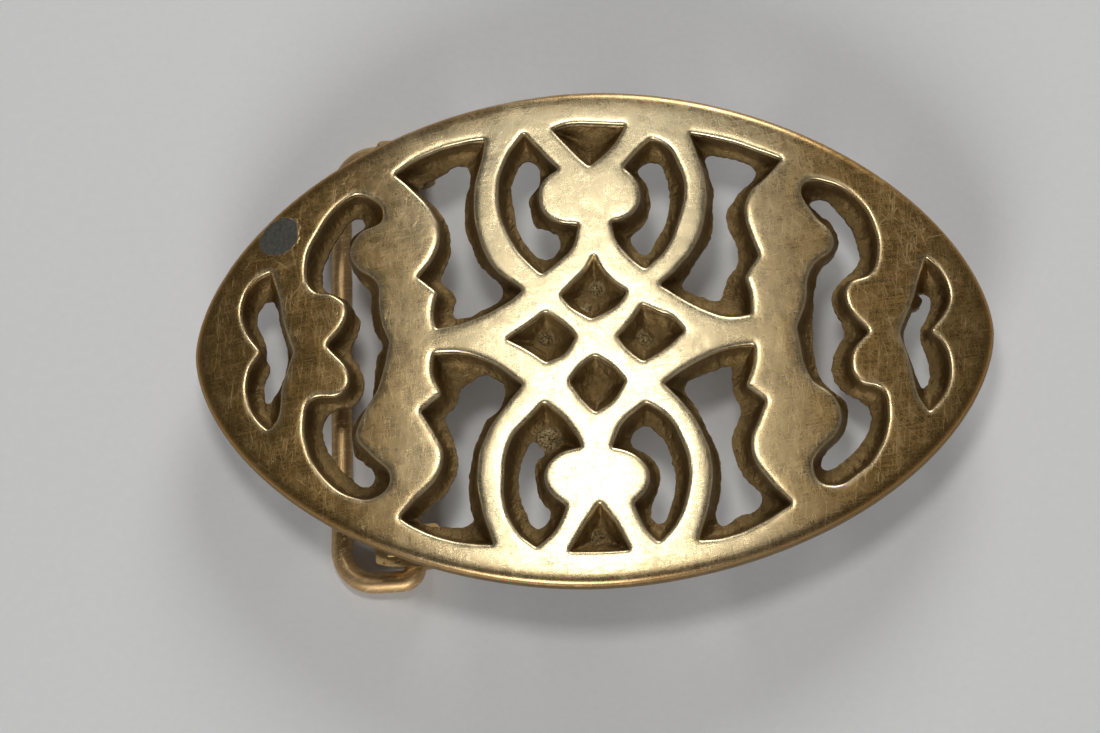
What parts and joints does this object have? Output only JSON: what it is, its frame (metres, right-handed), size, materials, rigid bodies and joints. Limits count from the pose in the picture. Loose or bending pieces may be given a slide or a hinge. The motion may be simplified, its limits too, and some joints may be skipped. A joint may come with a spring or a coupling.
{
  "type": "belt buckle",
  "caption": "Oval pierced brass belt buckle, bowed along its length, with a swinging wire bail for the strap's end and a prong for its holes.",
  "frame": {"origin": "under the middle of the buckle, on the surface that it stands on face up", "axes": "+X along the buckle's long side, away from the bail; +Y up the buckle as it is worn; +Z out of its face"},
  "size_m": [0.0826, 0.052, 0.0128],
  "materials": {
    "polished_brass": "worn satin brass, finely scratched, polished on the face and toned brown in the cuts",
    "brass_wire": "drawn brass wire, lightly toned",
    "cast_brass": "brass as cast, toned brown"
  },
  "bodies": {
    "buckle": {"face_plate": "polished_brass", "bail_lug_upper": "cast_brass", "bail_lug_lower": "cast_brass", "prong": "cast_brass"},
    "bail": {"bail": "brass_wire"}
  },
  "joints": [
    {"name": "bail_swing", "type": "hinge", "parent": "buckle", "child": "bail", "pos_m": [-0.019, 0, 0.0024], "axis": [0, -1, 0], "range_deg": [-35, 200]}
  ]
}
